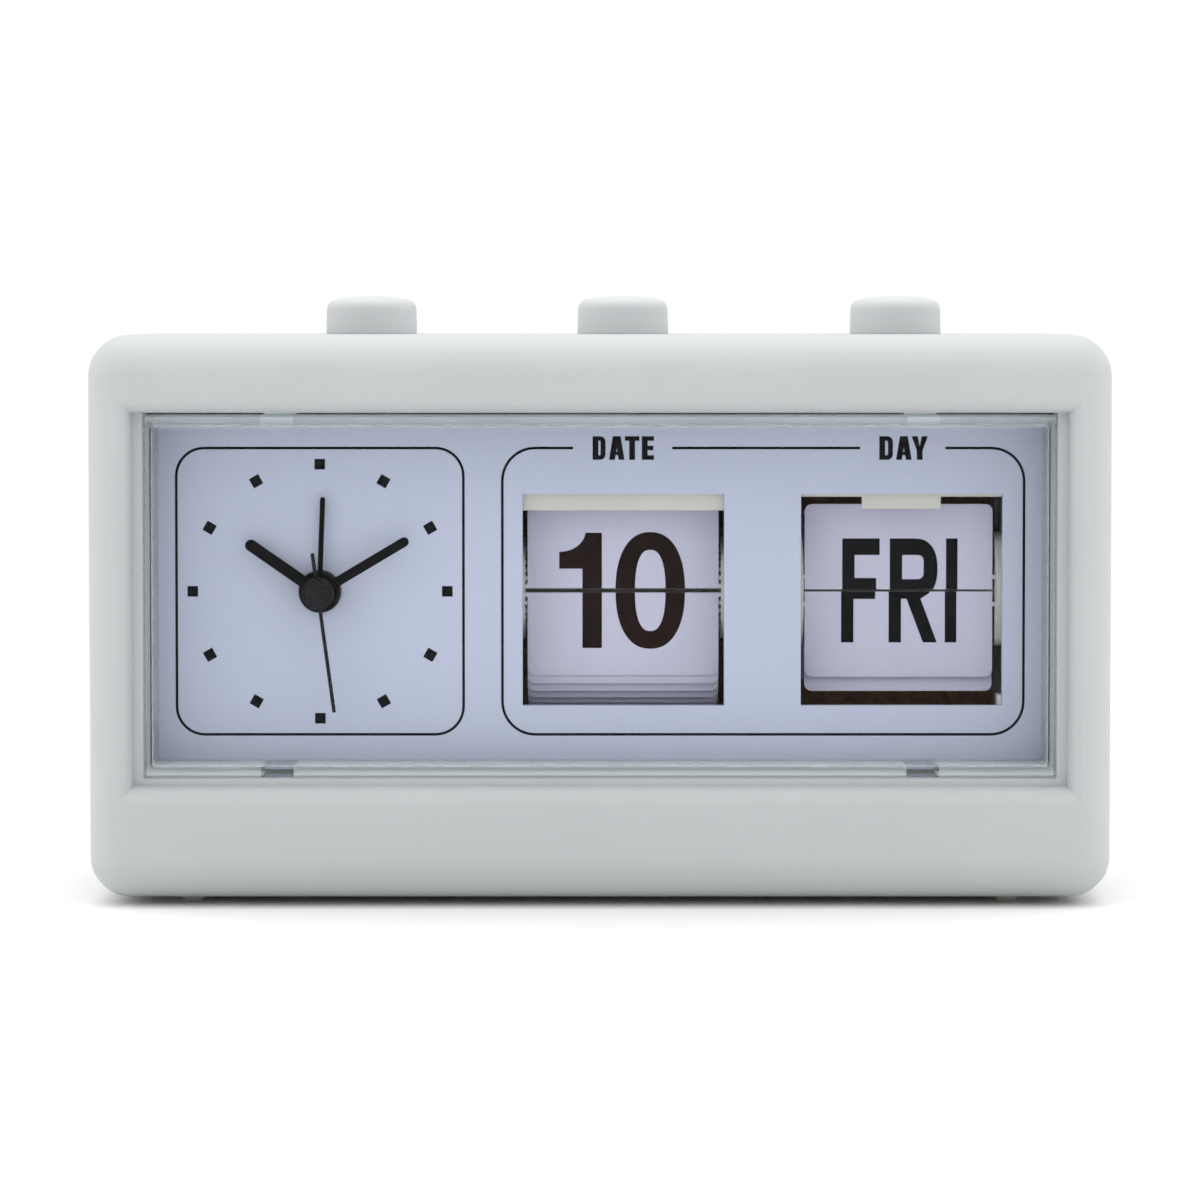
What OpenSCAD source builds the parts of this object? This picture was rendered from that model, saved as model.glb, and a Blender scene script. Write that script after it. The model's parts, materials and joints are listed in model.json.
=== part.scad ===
// Desk calendar alarm clock: an alarm dial with four hands beside a split-flap date and day
// display, in a white moulded case with three push buttons on top.
// X runs to the right seen from the front, Y to the back and Z up, in millimetres.
// The origin lies under the middle of the clock, on the surface that its feet stand on.

/* [Case] */
// Width of the case
case_w = 190; // [184:1:220]
// Height of the case, without feet and buttons
case_h = 104.7; // [101:0.1:130]
// Depth of the front case, from its face to the joint with the rear cover
front_d = 52; // [50:1:70]
// Depth of the rear cover behind that joint
cover_d = 12; // [10:0.5:20]
// Thickness of the moulded case walls
wall = 2.5; // [2:0.1:3]
// Radius of the case's corners seen from the front
corner_r = 7.8; // [7.7:0.1:12]
// Radius of the rolled edge round the face
face_roll = 7.6; // [4:0.1:7.6]
// Radius of the rolled edge round the back
back_roll = 6; // [3:0.1:7]
// Width of the rim left and right of the lens recess
rim_side = 8.5; // [7:0.1:14]
// Height of the rim above the lens recess
rim_top = 14.4; // [12:0.1:20]
// Height of the rim below the lens recess
rim_bottom = 21.1; // [18:0.1:30]
// Radius of the rolled edge round the lens recess
rim_roll = 2.8; // [1:0.1:3]
// Thickness of the tunnel walls round the lens, and of the ledge before them
tunnel_t = 2; // [1.5:0.1:2.5]
// Depth of the tunnel round the lens, from the face of the case
tunnel_d = 11; // [9:0.5:13]
// Height of the feet below the case
foot_h = 1.3; // [1:0.1:4]
// Width of one foot
foot_w = 4.2; // [3:0.1:10]
// Length of one foot, front to back
foot_l = 6; // [5:0.5:14]
// Distance between the left and the right feet
foot_span = 152.4; // [120:0.1:165]

/* [Lens and dial] */
// Depth of the lens face behind the face of the case
lens_inset = 4; // [2:0.1:6]
// Depth of the lens tray, from its face to the dial
lens_d = 13.8; // [13:0.1:16]
// Thickness of the lens face
lens_t = 1.8; // [1.2:0.1:2.5]
// Thickness of the lens walls at the left and the right
lens_wall = 1.2; // [1:0.1:2]
// Thickness of the lens walls at the top and the bottom
lens_shelf = 1.8; // [1.2:0.1:2.5]
// Distance from the lens to the sides of its recess
lens_side_gap = 2.05; // [0.4:0.05:3]
// Distance from the lens to the bottom of its recess
lens_gap = 1.5; // [0.4:0.1:3]
// Distance from the lens to the top of its recess
lens_top_gap = 0.4; // [0.3:0.1:1.5]
// Width of one clip tab of the lens
tab_w = 6; // [4:0.5:10]
// Distance of the clip tabs from the middle of the clock
tab_x = 59.8; // [40:0.1:75]
// Thickness of the dial plate
dial_t = 1.5; // [1:0.1:2]
// Place of the dial centre, left of the middle of the clock
dial_left = 52.8; // [52:0.1:56]
// Width of the two calendar windows
window_w = 38; // [37.5:0.1:40]
// Height of the windows above the calendar axis
window_up = 18.8; // [18:0.1:20]
// Height of the windows below the calendar axis
window_down = 21.2; // [20:0.1:23]

/* [Movement] */
// Width and height of the movement housing
movement_w = 52; // [48:0.5:53]
// Thickness of the movement housing
movement_d = 18; // [17.5:0.5:22]
// Wall of the movement housing
movement_wall = 1.6; // [1.2:0.1:2]
// Distance of the setting arbors from the dial centre
setting_reach = 12; // [11.5:0.1:13]
// Radius of the bush that passes through the dial
bush_r = 4; // [3.8:0.1:5]
// Length of the hour hand
hour_l = 16.6; // [12:0.1:18]
// Length of the minute hand
minute_l = 19.6; // [16:0.1:23]
// Length of the alarm hand
alarm_l = 17.9; // [12:0.1:20]
// Width of the alarm hand
alarm_w = 0.95; // [0.8:0.05:1.5]
// Length of the second hand
second_l = 22.5; // [18:0.1:24]
// Radius of the setting knobs
knob_r = 6.5; // [5:0.1:9]
// Height of the setting knobs behind the rear cover
knob_out = 6; // [4:0.5:10]

/* [Calendar] */
// Place of the date window, right of the middle of the clock
date_x = 4.4; // [4:0.1:5]
// Place of the day window, right of the middle of the clock
day_x = 56.9; // [56:0.1:57.5]
// Width of one date leaf
date_leaf_w = 36.4; // [35:0.1:36.8]
// Width of one day leaf
day_leaf_w = 35.8; // [34:0.1:36.5]
// Height of one date leaf above its hinge
date_reach = 15.4; // [14.5:0.1:15.6]
// Height of one day leaf above its hinge
day_reach = 13.9; // [13:0.1:14]
// Radius of the circle of date hinges
date_hinge_r = 8; // [7.6:0.1:8.2]
// Radius of the circle of day hinges
day_hinge_r = 6; // [5.6:0.1:6.2]
// Radius of the date drum's discs
date_disc_r = 9.8; // [9.4:0.1:10.5]
// Radius of the day drum's discs
day_disc_r = 11; // [9:0.1:12]
// Radius of the two calendar axles
axle_r = 1.5; // [1.2:0.1:1.8]

/* [Buttons] */
// Place of the alarm button, left of the middle of the clock
alarm_left = 44; // [43:0.5:50]
// Radius of the button caps
button_r = 8.8; // [7:0.1:9.5]
// Height of the button caps above the case
button_h = 7.3; // [5:0.1:10]
// Radius of the rounded edge of the button caps
button_edge = 2; // [0.5:0.1:3]
// Travel of the buttons
button_travel = 3; // [2:0.1:3.5]
// Length of the return springs with the button up
spring_l = 7.2; // [6.6:0.1:9]
// Turns of one return spring
spring_turns = 4; // [3:1:4]
// Diameter of the return spring's wire
spring_wire = 0.8; // [0.6:0.05:0.9]

/* [Battery] */
// Length of the battery bay
bay_l = 54; // [53:0.5:58]
// Height and depth of the battery bay
bay_w = 15.6; // [15:0.1:17]
// Place of the bay's left end, right of the middle of the clock
bay_x = 8; // [0:0.5:14]

/* [Hidden] */
$fn = 64;
run = 0.05;
fit = 0.2;
free = 0.4;
eps = 0.01;

// Places along Y, from the face to the knobs
front_y = -(front_d + cover_d + knob_out) / 2;
joint_y = front_y + front_d;
back_y = joint_y + cover_d;
lens_y = front_y + lens_inset;
dial_y = lens_y + lens_d;
inner_y = dial_y + dial_t;
leaf_y = inner_y + 6.5;
movement_back_y = inner_y + movement_d;
movement_split_y = inner_y + movement_d / 2;

// Places along Z, from the feet up
case_z0 = foot_h;
case_z1 = foot_h + case_h;
case_zc = (case_z0 + case_z1) / 2;
inside_w = case_w - 2 * wall;
inside_h = case_h - 2 * wall;
open_z0 = case_z0 + rim_bottom;
open_z1 = case_z1 - rim_top;
open_zc = (open_z0 + open_z1) / 2;
open_w = case_w - 2 * rim_side;
open_h = open_z1 - open_z0;

// Lens tray
lens_w = open_w - 2 * lens_side_gap;
lens_z0 = open_z0 + lens_gap;
lens_z1 = open_z1 - lens_top_gap;
lens_zc = (lens_z0 + lens_z1) / 2;
lens_h = lens_z1 - lens_z0;
dial_z = lens_zc;
cal_z = dial_z - 0.4;
seat_w = lens_w + 2 * fit;
seat_z0 = lens_z0 - fit;
lens_corner = 0.7;
lens_edge = 0.4;
tunnel_y = front_y + tunnel_d;
tab_t = 2;
tab_bite = 1;
tab_y = tunnel_y + run;

// Case screws stand in posts near the four corners, dial screws above and below the tunnel
post_r = 3.5;
post_x = case_w / 2 - 11;
post_zs = [case_z0 + 12.2, case_z1 - 7.6];
screw_r = 1.4;
screw_l = 15;
screw_head_r = 2.8;
screw_head_t = 2;
well_floor = 3;
well_r = 3.4;
well_t = 1.2;
dial_boss_r = 2.8;
dial_boss_in = 21;
dial_boss_x = case_w / 2 - dial_boss_in;
dial_boss_zs = [open_z0 - tunnel_t - dial_boss_r - free, open_z1 + tunnel_t + dial_boss_r + free];
dial_screw_r = 1;
dial_screw_bite = 5;
dial_head_r = 2.1;
dial_head_t = 1.2;
dial_lap = 0.5;
dial_w = lens_w - 2 * (lens_wall - dial_lap);
dial_h = lens_h - 2 * fit;
ear_hw = 4;

// Feet sit in shallow recesses under the front case
foot_seat = 0.6;
foot_edge = 0.5;
foot_corner = 1.2;
foot_front_in = 13.5;
foot_rear_in = 9;
foot_ys = [front_y + foot_front_in, joint_y - foot_rear_in];

// Groove round the joint of the two case halves, and the tongue inside it
seam = 0.4;
tongue_l = 2;
tongue_root = 3;
tongue_t = 1.4;
tongue_sink = 0.5;
tongue_foot = 1.2;

// Hands, pipes and arbors share one axis
dial_x = -dial_left;
second_r = 0.6;
minute_r = 1.5;
hour_r = 2.3;
alarm_r = 3;
hand_t = 0.5;
hand_step = 1.4;
hand_y = [for (i = [0:3]) dial_y - 1.3 - hand_t - i * hand_step];
arbor_r = 1;
stem_r = 2;
stem_y = movement_back_y + 1.2;
socket_d = 5;
time_x = dial_x + setting_reach;
alarm_knob_x = dial_x - setting_reach;
front_wall = 1.2;
alarm_gear_y = inner_y + front_wall + 0.3;
hour_gear_y = alarm_gear_y + 1.4;
minute_gear_y = hour_gear_y + 1.8;
gear_t = 1;

// Teeth of the motion work: the alarm pair, the minute pair and the hour pair
alarm_teeth = [16, 32];
minute_teeth = [12, 36];
hour_teeth = [10, 40];

// Calendar drums: hinge angles are counted from the front, upwards
date_n = 31;
day_n = 7;
date_step = 360 / date_n;
day_step = 360 / day_n;
date_y = leaf_y + date_hinge_r * cos(date_step / 2);
day_y = leaf_y + day_hinge_r * cos(day_step / 2);
date_leaf_t = 0.2;
day_leaf_t = 0.3;
date_tail = 0.26;
day_tail = 2.4;
day_lean = 15;
leaf_corner = 1.45;
ear_w = 0.8;
ear_gap = 0.45;
disc_t = 1.5;
ear_web = 0.2;
ear_l = ear_gap + disc_t - ear_web;
ear_hole_r = 0.45;
drum_hub_r = 2.6;
ratchet_t = 1.9;
ratchet_r = 6;
date_disc_x = date_leaf_w / 2 + ear_gap;
day_disc_x = day_leaf_w / 2 + ear_gap;

// Calendar frame: two side plates for each drum, tied by bars at the top and the bottom
plate_t = 1.6;
bar_d = 3.5;
bar_h = 3;
frame_back_y = joint_y + 1.5;
frame_z1 = cal_z + window_up + 1 + bar_h;
frame_z0 = cal_z - date_hinge_r - date_reach - 1.6 - bar_h;
date_plates = [date_x - date_disc_x - disc_t - ratchet_t - free - plate_t,
               date_x + date_disc_x + disc_t + free];
day_plates = [day_x - day_disc_x - disc_t - ratchet_t - free - plate_t,
              day_x + day_disc_x + disc_t + free];
frame_x0 = date_plates[0];
frame_x1 = day_plates[1] + plate_t;
board_t = 1.2;
strip_drop = 3.2;
strip_t = 0.8;

// Buttons, their bracket under the top wall, and the pawls on their stems
button_xs = [-alarm_left, date_x, day_x];
button_y = 0;
button_gap = 0.25;
button_crown = 1;
button_taper = 0.25;
flange_r = button_r + 1.4;
flange_t = 1.2;
flange_z1 = case_z1 - wall - 0.1;
flange_z0 = flange_z1 - flange_t;
stem_bore_r = 3;
bracket_z1 = flange_z0 - spring_l;
bracket_t = 2;
bracket_z0 = bracket_z1 - bracket_t;
bracket_hw = 11;
bracket_end = 2 * bracket_hw;
bracket_x0 = -alarm_left - bracket_end;
bracket_x1 = day_x + bracket_end;
bracket_boss_r = 3;
bracket_boss_in = 2 * bracket_boss_r;
bracket_boss_xs = [bracket_x0 + bracket_boss_in, (date_x - alarm_left) / 2, (date_x + day_x) / 2,
                   bracket_x1 - bracket_boss_in];
bracket_screw_r = 1;
bracket_screw_bite = 5;
bracket_head_r = 2.2;
bracket_head_t = 1.4;
button_stem_z = bracket_z0 - 1;
pawl_t = 1.4;
pawl_bar_h = 3;
spring_r = stem_bore_r + 2.6;
switch_w = 6;
switch_d = 3;
switch_h = 2.6;
switch_y = button_y + spring_r + spring_wire + switch_d / 2;
switch_z1 = flange_z0 - button_travel - fit;
switch_knob_r = 0.9;

// Battery bay, open to the back, with a flush door
bay_t = 1.5;
bay_z = case_z0 + 9.6;
bay_y = back_y - bay_w - wall;
door_lip = 2.4;
door_t = 1.5;
door_gap = 0.3;
door_tongue = 2.5;
grip_w = 0.8;
contact_t = 0.5;
cell_spring_wire = 0.7;
cell_spring_l = 5;
cell_spring_r0 = 4.6;
cell_spring_r1 = 2.6;
cell_spring_turns = 4;
bay_top = bay_z + bay_w + bay_t;
bay_front_y = bay_y - bay_t;
frame_rear_z0 = max(frame_z0, bay_top + free);

// Sounder behind its slots
slot_half = 8;
slot_less = 1.5;
slot_step = 4;
slot_w = 2;
buzzer_x = 42;
buzzer_r = 12;
buzzer_z = case_zc + buzzer_r;
buzzer_t = 5.5;

// Draws an outline of X and Z as a solid between two places along Y
module along_y(y0, y1) {
    translate([0, y1, 0]) rotate([90, 0, 0]) linear_extrude(y1 - y0) children();
}

// Draws an outline of Y and Z as a solid between two places along X
module along_x(x0, x1) {
    translate([x0, 0, 0]) rotate([90, 0, 90]) linear_extrude(x1 - x0) children();
}

module rod_y(r, y0, y1) {
    translate([0, y1, 0]) rotate([90, 0, 0]) cylinder(r = r, h = y1 - y0);
}

module rod_x(r, x0, x1) {
    translate([x0, 0, 0]) rotate([0, 90, 0]) cylinder(r = r, h = x1 - x0);
}

module block(x0, x1, y0, y1, z0, z1) {
    translate([x0, y0, z0]) cube([x1 - x0, y1 - y0, z1 - z0]);
}

module rounded_rect(w, h, r) {
    square([w, h - 2 * r], center = true);
    square([w - 2 * r, h], center = true);
    for (sx = [-1, 1], sy = [-1, 1]) translate([sx * (w / 2 - r), sy * (h / 2 - r)]) circle(r);
}

// What a rounded edge takes away from a square corner at (half, 0)
module corner_waste(half, r) {
    difference() {
        translate([half - r, -1]) square([r + 1, r + 1]);
        translate([half - r, r]) circle(r);
    }
}

// Section across a rolled box: half is half its width, and its face lies at y = 0
module rolled_section(half, depth, r) {
    difference() {
        translate([-half, 0]) square([2 * half, depth]);
        for (side = [0, 1]) mirror([side, 0]) corner_waste(half, r);
    }
}

// A box with rounded corners whose face, at y = 0, rolls into its sides
module rolled_box(w, h, depth, corner, roll) {
    translate([0, 0, corner - h / 2]) linear_extrude(h - 2 * corner) rolled_section(w / 2, depth, roll);
    translate([corner - w / 2, 0, 0])
        rotate([0, 90, 0]) linear_extrude(w - 2 * corner) rolled_section(h / 2, depth, roll);
    for (turn = [0:3]) {
        sx = turn == 0 || turn == 3 ? 1 : -1;
        sz = turn < 2 ? -1 : 1;
        translate([sx * (w / 2 - corner), 0, sz * (h / 2 - corner)])
            rotate([0, 90 * turn, 0]) rotate([-90, 0, 0]) rotate_extrude(angle = 90)
                difference() {
                    square([corner, depth]);
                    corner_waste(corner, roll);
                }
    }
}

// Section of a slot whose mouth, at y = 0, is rounded by r on both sides
module flared_slot(half, depth, r) {
    translate([-half, -1]) square([2 * half, depth + 1]);
    difference() {
        translate([-half - r, -1]) square([2 * (half + r), r + 1]);
        for (side = [-1, 1]) translate([side * (half + r), r]) circle(r);
    }
}

// The lens recess with its rolled rim, mitred in the corners, and the tunnel that takes the lens
module lens_opening() {
    block(-seat_w / 2, seat_w / 2, front_y, tunnel_y + 1, seat_z0, open_z1);
    translate([0, front_y, open_zc]) intersection() {
        translate([0, 0, -open_h]) linear_extrude(2 * open_h) flared_slot(open_w / 2, lens_inset, rim_roll);
        translate([-open_w, 0, 0])
            rotate([0, 90, 0]) linear_extrude(2 * open_w) flared_slot(open_h / 2, lens_inset, rim_roll);
    }
}

// The four clip tabs, which snap in behind the tunnel
module lens_tabs() {
    for (sx = [-1, 1]) {
        block(sx * tab_x - tab_w / 2, sx * tab_x + tab_w / 2, tab_y,
              tab_y + tab_t, lens_z1 - lens_shelf / 2, open_z1 + tab_bite);
        block(sx * tab_x - tab_w / 2, sx * tab_x + tab_w / 2, tab_y,
              tab_y + tab_t, seat_z0 - tab_bite, lens_z0 + lens_shelf / 2);
    }
}

module foot_places() {
    for (sx = [-1, 1], y = foot_ys) translate([sx * foot_span / 2, y, 0]) children();
}

module foot_outline(grow) {
    rounded_rect(foot_w + 2 * grow, foot_l + 2 * grow, foot_corner + grow);
}

module front_case() {
    color("#dcdedd") difference() {
        union() {
            difference() {
                translate([0, front_y, case_zc]) rolled_box(case_w, case_h, front_d, corner_r, face_roll);
                translate([0, front_y + wall, case_zc])
                    rolled_box(inside_w, inside_h, front_d, corner_r - wall, face_roll - wall);
            }
            block(-open_w / 2 - tunnel_t, open_w / 2 + tunnel_t, front_y + wall - eps, lens_y + tunnel_t,
                  open_z0 - tunnel_t, open_z1 + tunnel_t);
            block(-seat_w / 2 - tunnel_t, seat_w / 2 + tunnel_t, lens_y, tunnel_y,
                  seat_z0 - tunnel_t, open_z1 + tunnel_t);
            for (sx = [-1, 1], z = post_zs) {
                translate([sx * post_x, 0, z]) rod_y(post_r, front_y + wall - eps, joint_y);
                block(min(sx * post_x, sx * (case_w / 2 - 1)), max(sx * post_x, sx * (case_w / 2 - 1)),
                      front_y + face_roll + wall, joint_y - 3, z - wall / 4, z + wall / 4);
            }
            for (sx = [-1, 1], z = dial_boss_zs)
                translate([sx * dial_boss_x, 0, z]) rod_y(dial_boss_r, front_y + wall - eps, dial_y);
            for (x = bracket_boss_xs)
                translate([x, button_y, bracket_z1])
                    cylinder(r = bracket_boss_r, h = case_z1 - wall - bracket_z1 + eps);
        }
        lens_opening();
        for (x = button_xs)
            translate([x, button_y, case_z1 - wall - 1]) cylinder(r = button_r + button_gap, h = wall + 2);
        for (sx = [-1, 1], z = post_zs) translate([sx * post_x, 0, z])
            rod_y(screw_r + run, joint_y + well_floor - screw_l - 1, joint_y + 1);
        for (sx = [-1, 1], z = dial_boss_zs)
            translate([sx * dial_boss_x, 0, z])
                rod_y(dial_screw_r + run, dial_y - dial_screw_bite - 1, dial_y + 1);
        for (x = bracket_boss_xs)
            translate([x, button_y, bracket_z1 - 1])
                cylinder(r = bracket_screw_r + run, h = bracket_screw_bite + 2);
        foot_places() translate([0, 0, case_z0 - 1]) linear_extrude(foot_seat + 1) foot_outline(run);
    }
}

// A ring that follows the inside of the case walls, t thick and set in by gap
module tongue_ring(gap, t) {
    difference() {
        rounded_rect(case_w - 2 * (wall + gap), case_h - 2 * (wall + gap), corner_r - wall - gap);
        rounded_rect(case_w - 2 * (wall + gap + t), case_h - 2 * (wall + gap + t), corner_r - wall - gap - t);
    }
}

module sound_slots() {
    for (i = [-2:2]) {
        half = slot_half - abs(i) * slot_less;
        translate([buzzer_x, 0, buzzer_z + i * slot_step]) along_y(back_y - wall - 1, back_y + 1)
            rounded_rect(2 * half, slot_w, slot_w / 2 - eps);
    }
}

module rear_cover() {
    color("#d6d8d7") difference() {
        union() {
            difference() {
                translate([0, back_y, case_zc]) mirror([0, 1, 0])
                    rolled_box(case_w, case_h, cover_d, corner_r, back_roll);
                translate([0, back_y - wall, case_zc]) mirror([0, 1, 0])
                    rolled_box(inside_w, inside_h, cover_d, corner_r - wall, back_roll - wall);
            }
            translate([0, 0, case_zc]) along_y(joint_y - tongue_l, joint_y + tongue_root)
                tongue_ring(fit, tongue_t);
            translate([0, 0, case_zc]) along_y(joint_y + tongue_sink, joint_y + tongue_root)
                tongue_ring(-tongue_sink, tongue_foot);
            for (sx = [-1, 1], z = post_zs)
                translate([sx * post_x, 0, z]) rod_y(well_r + well_t, joint_y, back_y - wall + eps);
            block(bay_x - bay_t, bay_x + bay_l + bay_t, bay_y - bay_t, back_y - wall + eps,
                  bay_z - bay_t, bay_z + bay_w + bay_t);
        }
        block(bay_x, bay_x + bay_l, bay_y, back_y + 1, bay_z, bay_z + bay_w);
        block(bay_x - door_lip, bay_x + bay_l + door_lip, back_y - door_t, back_y + 1,
              bay_z - door_lip, bay_z + bay_w + door_lip);
        for (sx = [-1, 1], z = post_zs) translate([sx * post_x, 0, z]) {
            rod_y(screw_r + fit, joint_y - 1, back_y);
            rod_y(well_r, joint_y + well_floor, back_y + 1);
        }
        for (x = [time_x, alarm_knob_x])
            translate([x, 0, dial_z]) rod_y(stem_r + run, back_y - wall - 1, back_y + 1);
        sound_slots();
        translate([0, 0, case_zc]) along_y(joint_y - seam, joint_y + seam) difference() {
            square([case_w + 2, case_h + 2], center = true);
            rounded_rect(case_w - 2 * seam, case_h - 2 * seam, corner_r - seam);
        }
    }
}

// Pan-head screw along Y: its head stands behind y = 0 and its shank runs forward
module screw_y(head_r, head_t, shank_r, shank_l) {
    difference() {
        union() {
            rod_y(head_r, 0, head_t);
            rod_y(shank_r, -shank_l, eps);
        }
        for (a = [0, 90]) rotate([0, a, 0])
            block(-head_r * 0.65, head_r * 0.65, head_t * 0.45, head_t + 1, -head_r * 0.12, head_r * 0.12);
    }
}

module case_screws() {
    color("#8a8d90") for (sx = [-1, 1], z = post_zs)
        translate([sx * post_x, joint_y + well_floor, z])
            screw_y(screw_head_r, screw_head_t, screw_r, screw_l);
}

module rubber_feet() {
    color("#5f5c55") foot_places() hull() {
        translate([0, 0, foot_edge]) linear_extrude(foot_h + foot_seat - foot_edge) foot_outline(0);
        linear_extrude(eps) foot_outline(-foot_edge);
    }
}

// A block as wide and high as given, from y0 to y1, whose front edges are chamfered
module edged_block(w, h, y0, y1) {
    hull() {
        along_y(y0 + lens_edge, y1) rounded_rect(w, h, lens_corner);
        along_y(y0, y0 + lens_edge)
            rounded_rect(w - 2 * lens_edge, h - 2 * lens_edge, lens_corner - lens_edge);
    }
}

module lens() {
    color("#e8eef2", 0.35) difference() {
        union() {
            translate([0, 0, lens_zc]) edged_block(lens_w, lens_h, lens_y, dial_y);
            lens_tabs();
        }
        translate([0, 0, lens_zc])
            edged_block(lens_w - 2 * lens_wall, lens_h - 2 * lens_shelf, lens_y + lens_t, dial_y + 1);
    }
}

module dial_plate() {
    color("#c4c8d8") difference() {
        union() {
            translate([0, 0, lens_zc]) along_y(dial_y, inner_y) square([dial_w, dial_h], center = true);
            for (sx = [-1, 1]) translate([sx * dial_boss_x, 0, 0])
                block(-ear_hw, ear_hw, dial_y, inner_y, dial_boss_zs[0] - ear_hw, dial_boss_zs[1] + ear_hw);
        }
        translate([dial_x, 0, dial_z]) rod_y(bush_r + run, dial_y - 1, inner_y + 1);
        for (x = [date_x, day_x])
            block(x - window_w / 2, x + window_w / 2, dial_y - 1, inner_y + 1,
                  cal_z - window_down, cal_z + window_up);
        for (sx = [-1, 1], z = dial_boss_zs)
            translate([sx * dial_boss_x, 0, z]) rod_y(dial_screw_r + run, dial_y - 1, inner_y + 1);
    }
}

module dial_screws() {
    color("#8a8d90") for (sx = [-1, 1], z = dial_boss_zs)
        translate([sx * dial_boss_x, inner_y, z])
            screw_y(dial_head_r, dial_head_t, dial_screw_r, dial_t + dial_screw_bite);
}

module battery_door() {
    edge = door_lip - door_gap;
    color("#d2d4d3") {
        difference() {
            block(bay_x - edge, bay_x + bay_l + edge, back_y - door_t + eps, back_y,
                  bay_z - edge, bay_z + bay_w + edge);
            for (i = [-2:2]) translate([bay_x + bay_l - bay_w / 2 + i * 2 * grip_w, 0, bay_z + bay_w / 2])
                block(-grip_w / 2, grip_w / 2, back_y - door_t / 3, back_y + 1, -bay_w / 4, bay_w / 4);
        }
        block(bay_x + door_gap, bay_x + door_gap + door_t, back_y - door_t - door_tongue, back_y - door_t / 2,
              bay_z + bay_w / 5, bay_z + bay_w * 4 / 5);
    }
}

module battery_contact_plate() {
    color("#b9bcbf") {
        block(bay_x + bay_l - contact_t, bay_x + bay_l, bay_y + 1.5, bay_y + bay_w - 2.5,
              bay_z + 2, bay_z + bay_w - 2);
        translate([0, bay_y + bay_w / 2, bay_z + bay_w / 2])
            rod_x(3, bay_x + bay_l - 1.2, bay_x + bay_l - contact_t + eps);
    }
}

// One ring of a round wire whose turns wind about Z: place is counted in turns
function wire_ring(place, rise, r0, r1, turns, wire) =
    let (a = 360 * place, r = r0 + (r1 - r0) * place / turns)
    [for (i = [0:5]) let (b = 60 * i, w = r + wire / 2 * cos(b))
        [w * cos(a), w * sin(a), wire / 2 + rise * place / turns + wire / 2 * sin(b)]];

// Points along the middle of the wire, eight for each turn
function wire_path(rise, r0, r1, turns) =
    [for (i = [0:8 * turns]) let (a = 45 * i, r = r0 + (r1 - r0) * i / (8 * turns))
        [r * cos(a), r * sin(a), rise * i / (8 * turns)]];

// Least distance between neighbouring turns, less the wire
function wire_gap(path, wire) =
    min([for (i = [0:len(path) - 9]) norm(path[i + 8] - path[i])]) - wire;

// A wire spring standing on z = 0, from radius r0 at its foot to r1 at its head
module wire_spring(length, r0, r1, turns, wire) {
    rise = length - wire;
    last = 8 * turns;
    points = [for (i = [0:last]) each wire_ring(i / 8, rise, r0, r1, turns, wire)];
    sides = [for (i = [0:last - 1], j = [0:5]) let (k = (j + 1) % 6) each
        [[6 * i + j, 6 * i + k, 6 * i + 6 + k], [6 * i + j, 6 * i + 6 + k, 6 * i + 6 + j]]];
    foot = [for (j = [1:4]) [0, j + 1, j]];
    head = [for (j = [1:4]) [6 * last, 6 * last + j, 6 * last + j + 1]];
    polyhedron(points, concat(sides, foot, head));
}

module battery_contact_spring() {
    color("#b9bcbf") translate([bay_x, bay_y + bay_w / 2, bay_z + bay_w / 2]) {
        block(0, contact_t, -5.5, 5.5, -5.5, 5.5);
        translate([contact_t - run, 0, 0]) rotate([0, 90, 0])
            wire_spring(cell_spring_l, cell_spring_r0, cell_spring_r1, cell_spring_turns, cell_spring_wire);
    }
}

module buzzer() {
    color("#2b2b2e") translate([buzzer_x, 0, buzzer_z]) difference() {
        rod_y(buzzer_r, back_y - wall - buzzer_t, back_y - wall);
        rod_y(1.5, back_y - wall - 2, back_y - wall + 1);
    }
}

// One half of the movement housing, as an open tray
module movement_shell(y0, y1, floor_y0, floor_y1) {
    translate([dial_x, 0, dial_z]) difference() {
        along_y(y0, y1) rounded_rect(movement_w, movement_w, 3);
        difference() {
            along_y(y0 - 1, y1 + 1)
                rounded_rect(movement_w - 2 * movement_wall, movement_w - 2 * movement_wall, 1.5);
            block(-movement_w, movement_w, floor_y0, floor_y1, -movement_w, movement_w);
        }
    }
}

module movement_front() {
    color("#3a3b3e") difference() {
        union() {
            movement_shell(inner_y, movement_split_y, inner_y, inner_y + front_wall);
            translate([dial_x, 0, dial_z]) rod_y(bush_r, dial_y - 0.8, inner_y + eps);
        }
        translate([dial_x, 0, dial_z]) rod_y(alarm_r + run, dial_y - 2, inner_y + front_wall + 1);
    }
}

module movement_back() {
    floor_y0 = movement_back_y - front_wall;
    color("#47484b") difference() {
        union() {
            movement_shell(movement_split_y, movement_back_y, floor_y0, movement_back_y);
            translate([dial_x, 0, dial_z]) rod_y(2.5, floor_y0 - 4, floor_y0 + eps);
        }
        translate([dial_x, 0, dial_z]) rod_y(second_r + run, floor_y0 - 5, movement_back_y + 1);
        for (x = [time_x, alarm_knob_x])
            translate([x, 0, dial_z]) rod_y(arbor_r + run, floor_y0 - 1, movement_back_y + 1);
    }
}

// Outline of a gear with straight-sided teeth, thinned for backlash
function gear_points(teeth, pitch_r) =
    let (mod = 2 * pitch_r / teeth, pitch = 360 / teeth, half = 0.21 * pitch)
    [for (i = [0:teeth - 1]) let (a = i * pitch) each
        [polar(pitch_r - 1.05 * mod, a - 1.5 * half), polar(pitch_r + 0.75 * mod, a - 0.45 * half),
         polar(pitch_r + 0.75 * mod, a + 0.45 * half), polar(pitch_r - 1.05 * mod, a + 1.5 * half)]];

function polar(r, a) = [r * cos(a), r * sin(a)];

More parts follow.
